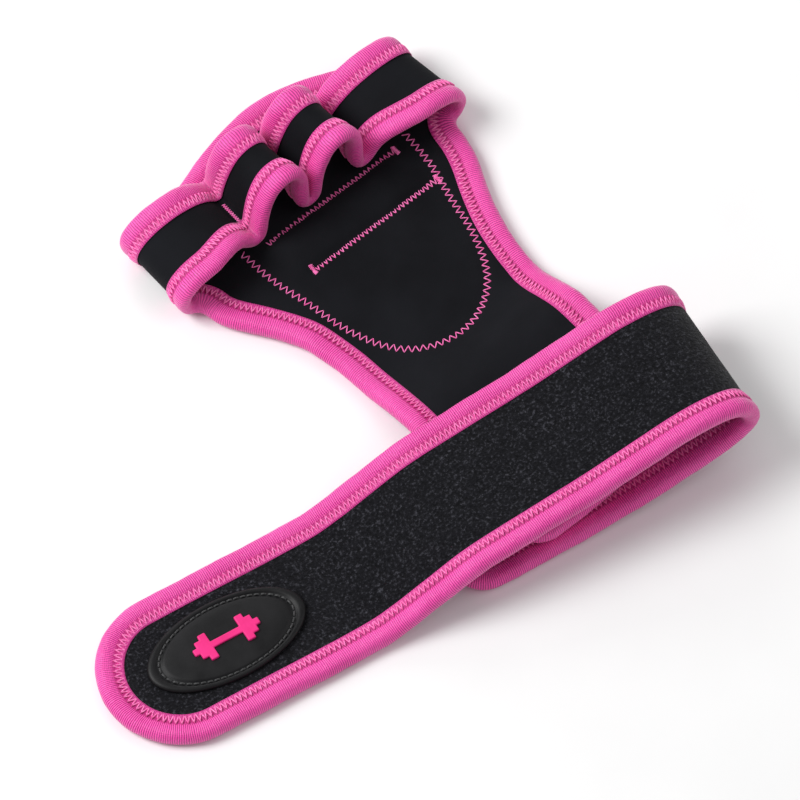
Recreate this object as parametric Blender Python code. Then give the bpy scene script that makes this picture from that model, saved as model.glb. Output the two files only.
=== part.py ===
"""Fingerless palm grip with finger loops and a hook-and-loop wrist wrap.

Everything is laid out in millimetres: +X runs along the strap, +Y from the wrist
towards the fingers and +Z up from the surface that the grip lies on.  The hand part
has its own frame, turned a little against the strap.  Each sheet is a grid of points
on its middle surface, and every layer, binding and seam is an offset of such a grid.
"""
import math

import bmesh
import bpy
from mathutils import Vector

MM = 0.001

# ---- strap: one band, wrapped once round the wrist; paths are (x, z) seen along its edge ----
STRAP_WIDTH = 50.5          # over the bindings
STRAP_LEFT = -104.0         # short end, under the palm panel
TIP_X = -215.0              # outermost point of the rounded free end
TIP_SPLIT_X = -142.0        # where the free tip bends up
END_CORNER = 9.0            # corner radius of the short end
FLAT_Z = 2.6                # middle of a band lying on the surface
FOLD = (-5.0, 20.5)         # outermost point of the fold, where the wrap bends open
BACK_PATH = [(-104, 2.6), (-80, 2.6), (-60, 3.6), (-40, 6.0), (-22, 9.9), (-11.2, 13.5), (-6.8, 16.5),
             (-5.0, 19.3)]
BACK_FROM_X = -92.0         # the back run is straight from the end corners to here
FRONT_PATH = [(-5.0, 21.7), (-8.2, 27.6), (-14.8, 30.8), (-26, 31.2), (-40, 28.4), (-60, 23.6), (-80, 20.4),
              (-100, 16.6), (-114, 10.6), (-126, 5.2), (-138, 2.6)]
SPLIT = 0.2                 # half the gap where two bodies meet
TIP_STRAIGHT = 1.5          # straight length on each side of the tip's bend line
PATH_STEP = 6.0

# ---- hand part, in its own frame -------------------------------------------------
HAND_ORIGIN = (-62.0, 48.0)
HAND_TURN = math.radians(9.3)
WRIST_FLEX_Y = 9.0          # bend line of the panel, just past the strap's edge
FLEX_CLEAR = 0.6            # bend line above the binding's middle radius
LEFT_EDGE = [(-43, -25.6), (0, -26.3), (30, -26.1), (43, -27.1), (58, -29.8), (70, -37.0), (78, -43.0),
             (84, -45.5), (140, -45.5)]
RIGHT_EDGE = [(-43, 37.6), (0, 38.3), (30, 38.1), (43, 39.2), (54, 41.4), (64, 45.0), (72, 48.8), (80, 51.3),
              (86, 52.0), (90, 51.95), (118.4, 48.2), (140, 48.2)]
PANEL_BOTTOM = -41.6
PANEL_CORNER = 9.0
FINGER_EDGE = [(-1, 118.0), (-0.72, 120.2), (-0.45, 124.6), (-0.22, 128.0), (0, 130.2), (0.22, 130.9),
               (0.45, 129.2), (0.72, 124.4), (1, 118.4)]      # y at each share of the half width
PANEL_ON_STRAP = 5.5        # panel above strap, middle to middle
RAMP = (10.5, 36.0)         # the panel comes down from the strap between these
SIDE_BINDING_TOP = 86.5
WRIST_END_COLUMNS = (-0.36, 0.0, 0.36)
PANEL_COLUMNS = (-1, -0.72, -0.45, -0.22, 0, 0.22, 0.45, 0.72, 1)

# ---- palm pad ---------------------------------------------------------------------
PAD_CENTRE = 7.0
PAD_HALF_WIDTHS = [(30, 4.0), (34, 13.0), (42, 20.5), (55, 25.8), (67, 28.0), (80, 31.2), (94, 32.3)]
CHANNEL_Y = (75.4, 91.0)    # the two stitch lines across the palm
CHANNEL_X = ((-12.0, 36.0), (-17.5, 32.5))
CHANNEL_RISE = 1.7
CHANNEL_ENDS = ((-20.0, -10.0), (22.0, 34.0))     # the padding fades out between these
TACK_HALF = (0.9, 2.0)      # half width and half length
PANEL_ROWS = (WRIST_FLEX_Y + SPLIT, RAMP[0], 15, 21, 27, 34, 43, 51, 58, 64, 70, CHANNEL_Y[0], 79, 83.2, 87.2,
              CHANNEL_Y[1], 97)

# ---- finger strip -------------------------------------------------------------------
VALLEY_PITCH = 21.4
LOOP_SHIFT = 1.0                 # the strip's middle, from the hand frame's axis
SIDE_FLARE = (4.5, 0.8)          # the thumb side spreads, at the wrist edge and the finger edge
FLARE_FROM = (30.0, 50.0)
STRIP_HALF_PATH = [(0, 7.5), (2.3, 8.6), (2.7, 13.2), (3.6, 19.2), (6.4, 24.4), (10.7, 26.2), (15.0, 24.4),
                   (17.8, 19.2), (18.7, 13.2), (19.1, 8.6), (21.4, 7.5), (23.7, 8.6), (26.4, 11.9),
                   (31.2, 15.2), (38.5, 17.0), (45.8, 16.3),
                   (50.8, 13.3), (52.3, 9.0), (51.4, 5.3), (49.6, 3.0), (48.1, 2.6), (46.9, 2.6)]
STRIP_STEP = 3.4
STRIP_FINGER_Y = 117.6
STRIP_WRIST_Y = (93.2, 89.4)     # in the middle and at the side folds
STRIP_LEAN = 2.0                 # the middle loops lean towards the fingers
LOOP_SWAY = (3.0, 0.6)           # and towards the thumb side, at the wrist edge and the finger edge
LEAN_Z = (8.0, 26.0)
STRIP_HALF = 1.0
SEAM_HEIGHT = 4.7                # seams that hold the strip down in its valleys
SEAM_Y = (101.0, 109.8)
SEAM_HALF = (1.0, 0.35)          # half width and half height

# ---- layers, measured from a sheet's middle ---------------------------------------------
CORE = (-0.7, 0.7)
OUTER = (1.0, 1.5)
INNER = (-1.5, -1.0)
ON_TOP = (1.8, 2.2)
BELOW = (-2.6, -1.8)
GAP = 0.3
BINDING_HALF = 2.6
BINDING_LIP = 7.2
BINDING_WALL = 0.8
STRIP_BINDING_WALL = 0.7
BINDING_NOSE = 1.4
BINDING_TURN = 0.3          # where the binding's nose begins
STRIP_BINDING_HALF = 2.0
STITCH_HALF = 1.25

# ---- badge and hook tape ----------------------------------------------------------------
BADGE_CENTRE = (-173.7, 25.2)
BADGE_RADII = (26.2, 13.3)
BADGE_PROFILE = [(1.0, 0.0), (1.0, 0.9), (0.965, 1.4), (0.91, 1.4), (0.88, 0.9), (0.83, 0.9), (0.79, 1.4),
                 (0.55, 1.8)]
BADGE_BASE = 4.4
BADGE_SEGMENTS = 36
HOOK_X = (-196.5, -156.0)
HOOK_MARGIN = 10.5

PLUSH = ((0.030, 0.030, 0.034), 0.95)
FOAM = ((0.045, 0.045, 0.048), 0.90)
JERSEY = ((0.016, 0.017, 0.019), 0.60)
PINK = ((0.870, 0.085, 0.330), 0.65)
THREAD = ((0.900, 0.120, 0.380), 0.50)
RUBBER = ((0.014, 0.014, 0.015), 0.38)
HOOK = ((0.020, 0.020, 0.022), 0.75)

PIECES = []


# ---- small helpers ----------------------------------------------------------------------

def blend(low, high, value):
    """Smooth step from 0 at low to 1 at high."""
    t = min(max((value - low) / (high - low), 0.0), 1.0)
    return t * t * (3.0 - 2.0 * t)


def interpolate(table, value):
    """Straight interpolation in a table of (position, value)."""
    for (p0, v0), (p1, v1) in zip(table, table[1:]):
        if value <= p1:
            t = max((value - p0) / (p1 - p0), 0.0)
            return v0 + (v1 - v0) * t
    return table[-1][1]


def smooth_path(points, step):
    """Catmull-Rom curve through the points, about one sample per step."""
    ends = [points[0]] + list(points) + [points[-1]]
    curve = []
    for i in range(1, len(ends) - 2):
        p0, p1, p2, p3 = (Vector(p) for p in ends[i - 1:i + 3])
        count = max(1, round((p2 - p1).length / step))
        for k in range(count):
            t = k / count
            curve.append(0.5 * (2 * p1 + (p2 - p0) * t + (2 * p0 - 5 * p1 + 4 * p2 - p3) * t ** 2
                                + (3 * p1 - p0 - 3 * p2 + p3) * t ** 3))
    curve.append(Vector(points[-1]))
    return curve


def add(name, verts, faces, body, finish):
    PIECES.append((name, verts, faces, body, finish))


def grid_normals(grid):
    """Unit normals of a grid: columns direction crossed with rows direction."""
    rows, cols = len(grid), len(grid[0])
    normals = []
    for i in range(rows):
        line = []
        for j in range(cols):
            along = grid[min(i + 1, rows - 1)][j] - grid[max(i - 1, 0)][j]
            across = grid[i][min(j + 1, cols - 1)] - grid[i][max(j - 1, 0)]
            line.append(across.cross(along).normalized())
        normals.append(line)
    return normals


def slab(name, grid, low, high, body, finish):
    """Closed sheet between two offsets of a grid; an offset is a number or a function of a point."""
    rows, cols = len(grid), len(grid[0])
    normals = grid_normals(grid)
    verts = []
    for level in (low, high):
        for i in range(rows):
            for j in range(cols):
                point = grid[i][j]
                offset = level(point) if callable(level) else level
                verts.append(point + normals[i][j] * offset)

    def at(level, i, j):
        return level * rows * cols + i * cols + j

    faces = []
    for i in range(rows - 1):
        for j in range(cols - 1):
            for level in (0, 1):
                faces.append((at(level, i, j), at(level, i, j + 1), at(level, i + 1, j + 1),
                              at(level, i + 1, j)))
    rim = [(0, j) for j in range(cols)] + [(i, cols - 1) for i in range(1, rows)]
    rim += [(rows - 1, j) for j in range(cols - 2, -1, -1)] + [(i, 0) for i in range(rows - 2, 0, -1)]
    for (i0, j0), (i1, j1) in zip(rim, rim[1:] + rim[:1]):
        faces.append((at(0, i0, j0), at(0, i1, j1), at(1, i1, j1), at(1, i0, j0)))
    add(name, verts, faces, body, finish)


def binding(name, edge, body, half=BINDING_HALF, thickness=BINDING_WALL, outward=None):
    """Tape folded round a sheet's edge: a C section swept along (point, normal) pairs.

    The edge follows a grid's first column forwards or its last column backwards.  The tape
    faces squarely off the edge, or along the vectors in outward.
    """
    wall = half - thickness
    flat = half * 0.45
    section = [(-BINDING_LIP, half), (BINDING_TURN, half), (BINDING_NOSE, flat), (BINDING_NOSE, -flat),
               (BINDING_TURN, -half), (-BINDING_LIP, -half), (-BINDING_LIP, -wall), (GAP, -wall),
               (GAP, wall), (-BINDING_LIP, wall)]
    size, count = len(section), len(edge)
    verts = []
    for k, (point, normal) in enumerate(edge):
        before = edge[max(k - 1, 0)][0]
        after = edge[min(k + 1, count - 1)][0]
        legs = [leg.normalized() for leg in (point - before, after - point) if leg.length > 1e-6]
        tangent = sum(legs, Vector()).normalized()
        out = normal.cross(tangent).normalized()
        stretch = 1.0 / max(tangent.dot(legs[0]), 0.5)
        if outward:
            out, stretch = outward[k], 1.0
        verts += [point + out * a * stretch + normal * b for a, b in section]
    faces = []
    for k in range(count - 1):
        for m in range(size):
            n = (m + 1) % size
            faces.append((k * size + m, k * size + n, (k + 1) * size + n, (k + 1) * size + m))
    for k in (0, (count - 1) * size):
        faces += [(k, k + 1, k + 8, k + 9), (k + 1, k + 2, k + 3, k + 4, k + 7, k + 8),
                  (k + 4, k + 5, k + 6, k + 7)]
    add(name, verts, faces, body, PINK)


def ribbon(name, line, half, low, high, body, finish, lift=None):
    """Narrow strip along a line of points in the plane of the hand, on the panel."""
    rows = []
    for k, point in enumerate(line):
        tangent = (line[min(k + 1, len(line) - 1)] - line[max(k - 1, 0)]).normalized()
        side = Vector((tangent.y, -tangent.x)) * half
        rows.append([hand_point(*(point - side)), hand_point(*(point + side))])
    raised = (lambda offset: lambda p: offset + lift(p)) if lift else (lambda offset: offset)
    slab(name, rows, raised(low), raised(high), body, finish)


# ---- strap --------------------------------------------------------------------------------

BACK_CURVE = smooth_path(BACK_PATH, PATH_STEP)
FRONT_CURVE = smooth_path(FRONT_PATH, PATH_STEP)
STRAP_EDGES = (BINDING_NOSE, STRAP_WIDTH - BINDING_NOSE)


def strap_rows(curve, widths=None):
    """Grid of a strap section; widths gives an inset at each row for rounded ends."""
    rows = []
    for k, (x, z) in enumerate(curve):
        inset = widths[k] if widths else 0.0
        rows.append([Vector((x, STRAP_EDGES[0] + inset, z)), Vector((x, STRAP_EDGES[1] - inset, z))])
    return rows


def edge_of(grid, column, reverse=False):
    normals = grid_normals(grid)
    edge = [(row[column], line[column]) for row, line in zip(grid, normals)]
    return edge[::-1] if reverse else edge


def build_strap():
    start = STRAP_LEFT + BINDING_NOSE
    angles = [math.radians(a) for a in (0, 18, 36, 54, 72, 90)]
    corner = [Vector((start + END_CORNER * (1 - math.cos(a)), FLAT_Z)) for a in angles]
    insets = [END_CORNER * (1 - math.sin(a)) for a in angles]
    back_curve = corner + [p for p in BACK_CURVE if p.x > BACK_FROM_X]
    back_curve.append(Vector((FOLD[0], FOLD[1] - SPLIT)))
    back = strap_rows(back_curve, insets + [0.0] * (len(back_curve) - len(insets)))
    front_end = [Vector((TIP_SPLIT_X + x, FLAT_Z)) for x in (TIP_STRAIGHT, SPLIT)]
    front = strap_rows([Vector((FOLD[0], FOLD[1] + SPLIT))] + FRONT_CURVE + front_end)
    radius = (STRAP_EDGES[1] - STRAP_EDGES[0]) / 2
    centre = TIP_X + BINDING_NOSE + radius
    turns = [math.radians(a) for a in (0, 12, 25, 38, 51, 64, 76, 84)]
    tip_curve = [Vector((TIP_SPLIT_X - SPLIT, FLAT_Z))]
    tip_curve += [Vector((centre - radius * math.sin(a), FLAT_Z)) for a in turns]
    tip_insets = [0.0] + [radius * (1 - math.cos(a)) for a in turns]
    tip = strap_rows(tip_curve, tip_insets)

    sections = (("back", back, "wrist_band"), ("front", front, "front_wrap"), ("tip", tip, "strap_tip"))
    for suffix, grid, body in sections:
        slab("strap_core_" + suffix, grid, *CORE, body, FOAM)
        slab("strap_plush_" + suffix, grid, *OUTER, body, PLUSH)
        slab("strap_lining_" + suffix, grid, *INNER, body, JERSEY)
    binding("strap_binding_back", edge_of(back, 1, True) + edge_of(back, 0), "wrist_band")
    binding("strap_binding_front_lower", edge_of(front, 0), "front_wrap")
    binding("strap_binding_front_upper", edge_of(front, 1, True), "front_wrap")
    binding("strap_binding_tip", edge_of(tip, 0) + edge_of(tip, 1, True), "strap_tip")

    sides = (HOOK_MARGIN, STRAP_WIDTH - HOOK_MARGIN)
    hook = [[Vector((x, y, FLAT_Z)) for y in sides] for x in reversed(HOOK_X)]
    slab("hook_tape", hook, *BELOW, "strap_tip", HOOK)


def build_badge():
    cx, cy = BADGE_CENTRE
    rx, ry = BADGE_RADII
    count = BADGE_SEGMENTS
    turns = [2 * math.pi * k / count for k in range(count)]
    ring = [(math.cos(a), math.sin(a)) for a in turns]
    verts = [Vector((cx + rx * s * c, cy + ry * s * d, BADGE_BASE + z))
             for s, z in BADGE_PROFILE for c, d in ring]
    faces = [tuple(range(count - 1, -1, -1))]
    for level in range(len(BADGE_PROFILE) - 1):
        for k in range(count):
            n = (k + 1) % count
            up = level + 1
            faces.append((level * count + k, level * count + n, up * count + n, up * count + k))
    last = (len(BADGE_PROFILE) - 1) * count
    verts.append(Vector((cx, cy, BADGE_BASE + 2.0)))
    faces += [(last + k, last + (k + 1) % count, len(verts) - 1) for k in range(count)]
    add("badge", verts, faces, "strap_tip", RUBBER)

    inner, outer, low, high = 0.838, 0.872, BADGE_BASE + 1.2, BADGE_BASE + 1.5
    verts = [Vector((cx + rx * s * c, cy + ry * s * d, z))
             for s, z in ((outer, low), (outer, high), (inner, high), (inner, low)) for c, d in ring]
    faces = []
    for level in range(4):
        for k in range(count):
            n, up = (k + 1) % count, (level + 1) % 4
            faces.append((level * count + k, level * count + n, up * count + n, up * count + k))
    add("badge_stitch", verts, faces, "strap_tip", THREAD)

    # plain dumbbell mark: a bar between two pairs of plates
    quarter = [(0, 1.1), (5.0, 1.1), (5.0, 4.6), (7.6, 4.6), (7.6, 3.0), (9.6, 3.0), (9.6, 1.1), (11.2, 1.1)]
    outline = quarter + [(x, -y) for x, y in reversed(quarter)]
    outline += [(-x, -y) for x, y in quarter[1:]] + [(-x, y) for x, y in reversed(quarter[1:])]
    low, high = BADGE_BASE + 2.3, BADGE_BASE + 2.8
    size = len(outline)
    verts = [Vector((cx + x, cy + y, z)) for z in (low, high) for x, y in outline]
    faces = [tuple(range(size)), tuple(range(2 * size - 1, size - 1, -1))]
    faces += [(k, (k + 1) % size, size + (k + 1) % size, size + k) for k in range(size)]
    add("badge_emblem", verts, faces, "strap_tip", THREAD)


# ---- palm panel ------------------------------------------------------------------------------

def strap_height(x):
    """Height of the back run's middle at x."""
    return interpolate([(p.x, p.y) for p in BACK_CURVE], x)


def hand_point(x, y):
    """Point of the panel's middle surface, from the hand frame."""
    turn_x, turn_y = math.cos(HAND_TURN), math.sin(HAND_TURN)
    world_x = HAND_ORIGIN[0] + x * turn_x - y * turn_y
    world_y = HAND_ORIGIN[1] + x * turn_y + y * turn_x
    flat = BINDING_HALF
    raised = strap_height(world_x) + PANEL_ON_STRAP
    return Vector((world_x, world_y, raised + (flat - raised) * blend(*RAMP, y)))


def hand_to_world(x, y, z):
    flat = hand_point(x, y)
    return Vector((flat.x, flat.y, z))


def to_fingers():
    """Unit vector along the hand, towards the fingers."""
    return Vector((-math.sin(HAND_TURN), math.cos(HAND_TURN), 0.0))


def to_hand(point):
    dx, dy = point.x - HAND_ORIGIN[0], point.y - HAND_ORIGIN[1]
    turn_x, turn_y = math.cos(HAND_TURN), math.sin(HAND_TURN)
    return dx * turn_x + dy * turn_y, dy * turn_x - dx * turn_y


def panel_point(s, y):
    """Point of the panel at share s of its half width, from -1 at the left edge to 1 at the right."""
    left, right = interpolate(LEFT_EDGE, y), interpolate(RIGHT_EDGE, y)
    return hand_point((left + right) / 2 + s * (right - left) / 2, y)


def channel_rise(point):
    """Padding under the liner between the two stitch lines across the palm."""
    x, y = to_hand(point)
    low, high = CHANNEL_Y
    across = math.sin(math.pi * min(max((y - low) / (high - low), 0.0), 1.0))
    ends = blend(*CHANNEL_ENDS[0], x) * (1.0 - blend(*CHANNEL_ENDS[1], x))
    return CHANNEL_RISE * across * ends


def build_panel():
    arc = [math.radians(a) for a in (0, 22, 45, 67, 90)]
    half = (RIGHT_EDGE[0][1] - LEFT_EDGE[0][1]) / 2
    side = [1.0 - PANEL_CORNER / half * (1 - math.sin(a)) for a in arc]
    columns = [-s for s in reversed(side)] + list(WRIST_END_COLUMNS) + side
    lows = [PANEL_BOTTOM + PANEL_CORNER * (1 - math.cos(a)) for a in arc]
    lows = lows[::-1] + [PANEL_BOTTOM] * len(WRIST_END_COLUMNS) + lows
    end_y = WRIST_FLEX_Y - SPLIT
    wrist_end = [[panel_point(s, low + (end_y - low) * t) for s, low in zip(columns, lows)]
                 for t in (0.0, 0.25, 0.5, 0.75, 1.0)]
    columns = PANEL_COLUMNS
    palm = [[panel_point(s, y) for s in columns] for y in PANEL_ROWS]
    for t in (0.33, 0.67, 1.0):
        tops = [interpolate(FINGER_EDGE, s) for s in columns]
        last_y = PANEL_ROWS[-1]
        palm.append([panel_point(s, last_y + (top - last_y) * t) for s, top in zip(columns, tops)])

    for suffix, grid, body in (("wrist", wrist_end, "wrist_band"), ("palm", palm, "palm")):
        slab("panel_core_" + suffix, grid, *CORE, body, FOAM)
        slab("panel_shell_" + suffix, grid, *INNER, body, JERSEY)
        rise = channel_rise if suffix == "palm" else (lambda p: 0.0)
        levels = [lambda p, flat=flat: flat + rise(p) for flat in OUTER]
        slab("panel_liner_" + suffix, grid, *levels, body, JERSEY)

    normals = grid_normals(wrist_end)
    last = len(wrist_end[0]) - 1
    around = [(i, last) for i in range(len(wrist_end) - 1, 0, -1)] + [(0, j) for j in range(last, -1, -1)]
    around += [(i, 0) for i in range(1, len(wrist_end))]
    binding("panel_binding_wrist", [(wrist_end[i][j], normals[i][j]) for i, j in around], "wrist_band")
    sides = [row for row, y in zip(palm, PANEL_ROWS) if y < SIDE_BINDING_TOP]
    binding("panel_binding_left", edge_of(sides, 0), "palm")
    binding("panel_binding_right", edge_of(sides, len(columns) - 1, True), "palm")
    normals = grid_normals(palm)
    binding("panel_binding_finger", list(zip(palm[-1], normals[-1])), "palm",
            outward=[to_fingers()] * len(columns))

    pad = [[hand_point(PAD_CENTRE + s * half, y) for s in (-1, -0.5, 0, 0.5, 1)]
           for y, half in PAD_HALF_WIDTHS]
    slab("grip_pad", pad, *BELOW, "palm", RUBBER)
    foam = [line[3:7] for line, y in zip(palm, PANEL_ROWS) if CHANNEL_Y[0] < y < CHANNEL_Y[1]]
    slab("channel_foam", foam, CORE[1] + GAP, lambda p: OUTER[0] + channel_rise(p) - GAP, "palm", FOAM)


def build_stitches():
    left = [Vector((PAD_CENTRE - w, y)) for y, w in reversed(PAD_HALF_WIDTHS)]
    right = [Vector((PAD_CENTRE + w, y)) for y, w in PAD_HALF_WIDTHS]
    outline = smooth_path(left + right, PATH_STEP + 1)
    ribbon("stitch_pad_outline", outline, STITCH_HALF, *ON_TOP, "palm", THREAD, channel_rise)
    for name, y, (x0, x1) in zip(("stitch_channel_lower", "stitch_channel_upper"), CHANNEL_Y, CHANNEL_X):
        line = [Vector((x0 + (x1 - x0) * k / 8, y)) for k in range(1, 8)]
        ribbon(name, line, STITCH_HALF, *ON_TOP, "palm", THREAD, channel_rise)
    tacks = [("bar_tack_lower_left", CHANNEL_X[0][0] + 1.2, CHANNEL_Y[0]),
             ("bar_tack_lower_right", CHANNEL_X[0][1] - 2.4, CHANNEL_Y[0]),
             ("bar_tack_upper_right", CHANNEL_X[1][1] - 1.2, CHANNEL_Y[1])]
    for name, x, y in tacks:
        line = [Vector((x, y - TACK_HALF[1])), Vector((x, y + TACK_HALF[1]))]
        ribbon(name, line, TACK_HALF[0], ON_TOP[0] + GAP, ON_TOP[1] + 2 * GAP, "palm", THREAD, channel_rise)
    for number in (1, 2, 3):
        x = LOOP_SHIFT + (number - 2) * VALLEY_PITCH
        seam = [[hand_to_world(x + side * SEAM_HALF[0], y, SEAM_HEIGHT) for side in (-1, 1)] for y in SEAM_Y]
        slab("loop_seam_%d" % number, seam, -SEAM_HALF[1], SEAM_HALF[1], "palm", THREAD)


# ---- finger strip -----------------------------------------------------------------------------

def build_strip():
    half = smooth_path(STRIP_HALF_PATH, STRIP_STEP)
    path = [Vector((-p.x, p.y)) for p in reversed(half)] + half[1:]
    rows = []
    for x, z in path:
        reach = blend(24.0, 42.0, abs(x))
        low = STRIP_WRIST_Y[0] + (STRIP_WRIST_Y[1] - STRIP_WRIST_Y[0]) * reach
        lean = blend(*LEAN_Z, z) if abs(x) < VALLEY_PITCH else 0.0
        low += STRIP_LEAN * lean
        flare = blend(*FLARE_FROM, x)
        rows.append([hand_to_world(LOOP_SHIFT + x + spread * flare + sway * lean, y, z)
                     for spread, sway, y in zip(SIDE_FLARE, LOOP_SWAY, (low, STRIP_FINGER_Y))])
    slab("finger_strip", rows, -STRIP_HALF, STRIP_HALF, "palm", JERSEY)
    tape = ("palm", STRIP_BINDING_HALF, STRIP_BINDING_WALL)
    across = [(finger - wrist).normalized() for wrist, finger in rows]
    binding("strip_binding_wrist", edge_of(rows, 0), *tape, [-v for v in across])
    binding("strip_binding_finger", edge_of(rows, 1, True), *tape, across[::-1])


# ---- assembly -----------------------------------------------------------------------------------

def flex_ends():
    """The wrist's bend line, level with the bindings' tops at the panel's two edges."""
    return [panel_point(s, WRIST_FLEX_Y) + Vector((0, 0, BINDING_HALF + FLEX_CLEAR)) for s in (-1, 1)]


def joint_points():
    """A point on each moving body's joint axis."""
    left, right = flex_ends()
    return {
        "front_wrap": Vector((FOLD[0] + BINDING_HALF, STRAP_WIDTH / 2, FOLD[1])),
        "strap_tip": Vector((TIP_SPLIT_X, STRAP_WIDTH / 2, FLAT_Z + BINDING_HALF)),
        "palm": (left + right) / 2,
    }


def make_material(name, colour, roughness):
    material = bpy.data.materials.get(name) or bpy.data.materials.new(name)
    material.use_nodes = True
    shader = material.node_tree.nodes["Principled BSDF"]
    shader.inputs["Base Color"].default_value = (*colour, 1.0)
    shader.inputs["Roughness"].default_value = roughness
    shader.inputs["Metallic"].default_value = 0.0
    return material


def make_objects():
    """Centre the layout on its footprint and make one object for each piece."""
    points = [v for piece in PIECES for v in piece[1]]
    middle = [(min(p[a] for p in points) + max(p[a] for p in points)) / 2 for a in (0, 1)]
    shift = Vector((-middle[0], -middle[1], -min(p.z for p in points)))
    pivots = {"wrist_band": -shift, **joint_points()}
    empties = {}
    for body, pivot in pivots.items():
        empty = bpy.data.objects.new("pivot_" + body, None)
        bpy.context.scene.collection.objects.link(empty)
        empty.location = (pivot + shift) * MM
        empties[body] = empty
    empties["strap_tip"].location = (pivots["strap_tip"] - pivots["front_wrap"]) * MM
    empties["strap_tip"].parent = empties["front_wrap"]
    for name, verts, faces, body, (colour, roughness) in PIECES:
        mesh = bpy.data.meshes.new(name)
        mesh.from_pydata([(v - pivots[body]) * MM for v in verts], [], faces)
        work = bmesh.new()
        work.from_mesh(mesh)
        bmesh.ops.recalc_face_normals(work, faces=work.faces)
        work.to_mesh(mesh)
        work.free()
        mesh.materials.append(make_material(name, colour, roughness))
        mesh.shade_smooth()
        mesh.set_sharp_from_angle(angle=math.radians(40))
        piece = bpy.data.objects.new(name, mesh)
        bpy.context.scene.collection.objects.link(piece)
        piece.parent = empties[body]


def main():
    for old in list(bpy.data.objects):
        bpy.data.objects.remove(old, do_unlink=True)
    PIECES.clear()
    build_strap()
    build_badge()
    build_panel()
    build_stitches()
    build_strip()
    make_objects()


main()
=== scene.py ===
import math

import bmesh
import bpy
import numpy as np
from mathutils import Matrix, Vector


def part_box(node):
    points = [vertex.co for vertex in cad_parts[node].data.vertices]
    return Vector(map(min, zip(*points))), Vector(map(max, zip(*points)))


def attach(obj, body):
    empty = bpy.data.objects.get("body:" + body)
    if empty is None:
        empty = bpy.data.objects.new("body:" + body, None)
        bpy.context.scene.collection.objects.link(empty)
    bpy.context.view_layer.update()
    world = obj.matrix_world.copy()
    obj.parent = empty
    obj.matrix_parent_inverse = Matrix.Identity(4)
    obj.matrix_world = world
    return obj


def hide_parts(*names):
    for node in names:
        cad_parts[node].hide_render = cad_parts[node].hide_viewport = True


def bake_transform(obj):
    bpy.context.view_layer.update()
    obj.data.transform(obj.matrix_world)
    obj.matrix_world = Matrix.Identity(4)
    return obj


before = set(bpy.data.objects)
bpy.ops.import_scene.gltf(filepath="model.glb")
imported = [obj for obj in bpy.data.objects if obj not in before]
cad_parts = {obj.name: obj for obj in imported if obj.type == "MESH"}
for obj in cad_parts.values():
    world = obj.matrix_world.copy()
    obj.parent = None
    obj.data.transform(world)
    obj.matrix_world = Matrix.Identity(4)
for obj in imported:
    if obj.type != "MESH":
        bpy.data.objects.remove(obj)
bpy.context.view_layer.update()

# ---- layout, in millimetres, as the solid model has it -----------------------------------
MM = 0.001
STRAP_WIDTH = 50.5
END_CORNER = 9.0
FLAT_Z = 2.6
# The strap's middle line seen along its edge, as (x, z): the back run, the fold and the front run.
BACK_PATH = [(-104, 2.6), (-80, 2.6), (-60, 3.6), (-40, 6.0), (-22, 9.9), (-11.2, 13.5), (-6.8, 16.5)]
FOLD = (-5.0, 20.5)
FRONT_PATH = [(-8.2, 27.6), (-14.8, 30.8), (-26, 31.2), (-40, 28.4), (-60, 23.6), (-80, 20.4),
              (-100, 16.6), (-114, 10.6), (-126, 5.2), (-138, 2.6), (-176, 2.6), (-215, 2.6)]
FRONT_CUT_X = -20.0          # the folded cloth and the free cloth meet here, on the front run

HAND_ORIGIN = (-62.0, 48.0)
HAND_TURN = math.radians(9.3)
# The panel's side edges as (y, x), and its finger edge as (share of the half width, y).
LEFT_EDGE = [(-43, -25.6), (0, -26.3), (30, -26.1), (43, -27.1), (58, -29.8), (70, -37.0), (78, -43.0),
             (84, -45.5), (140, -45.5)]
RIGHT_EDGE = [(-43, 37.6), (0, 38.3), (30, 38.1), (43, 39.2), (54, 41.4), (64, 45.0), (72, 48.8),
              (80, 51.3), (86, 52.0), (90, 51.95), (118.4, 48.2), (140, 48.2)]
PANEL_BOTTOM = -41.6
PANEL_CORNER = 9.0
FINGER_EDGE = [(-1, 118.0), (-0.72, 120.2), (-0.45, 124.6), (-0.22, 128.0), (0, 130.2), (0.22, 130.9),
               (0.45, 129.2), (0.72, 124.4), (1, 118.4)]
PANEL_ON_STRAP = 5.5         # the panel's middle over the strap's
RAMP = (10.5, 36.0)          # it comes down to the floor along this length of the hand's axis
FLEX_ZONE = (1.0, 17.0)      # a length of the hand's axis, given to bend() as two points

PAD_CENTRE = 7.0
# The grip pad's outline as (y, half width), and the two seams that cross the panel over it.
PAD_HALF_WIDTHS = [(30, 4.0), (34, 13.0), (42, 20.5), (55, 25.8), (67, 28.0), (80, 31.2), (94, 32.3)]
CHANNEL_Y = (75.4, 91.0)
CHANNEL_X = ((-12.0, 36.0), (-17.5, 32.5))
CHANNEL_RISE = 1.7           # the padded channel between them, and where it fades out to each side
CHANNEL_FADE = ((-22.0, -12.0), (28.0, 36.0))
PADDING = 0.40               # the panel's padding, how far it takes to rise beside the pad's outline,
PADDING_REACH = 7.0
PADDING_FROM = (7.0, 11.0)   # and how far in from the panel's edges it starts
OUTLINE_DIP = 0.45           # the dips under the stitch lines
CROSS_DIP = 0.55
DIP_REACH = 1.5
PANEL_WAVE = (0.12, 33.0)    # height and length of its unevenness

VALLEY_PITCH = 21.4
LOOP_SHIFT = 1.0
SIDE_FLARE = (4.5, 0.8)      # the thumb side spreads, at the wrist edge and the finger edge
FLARE_FROM = (30.0, 50.0)
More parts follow.
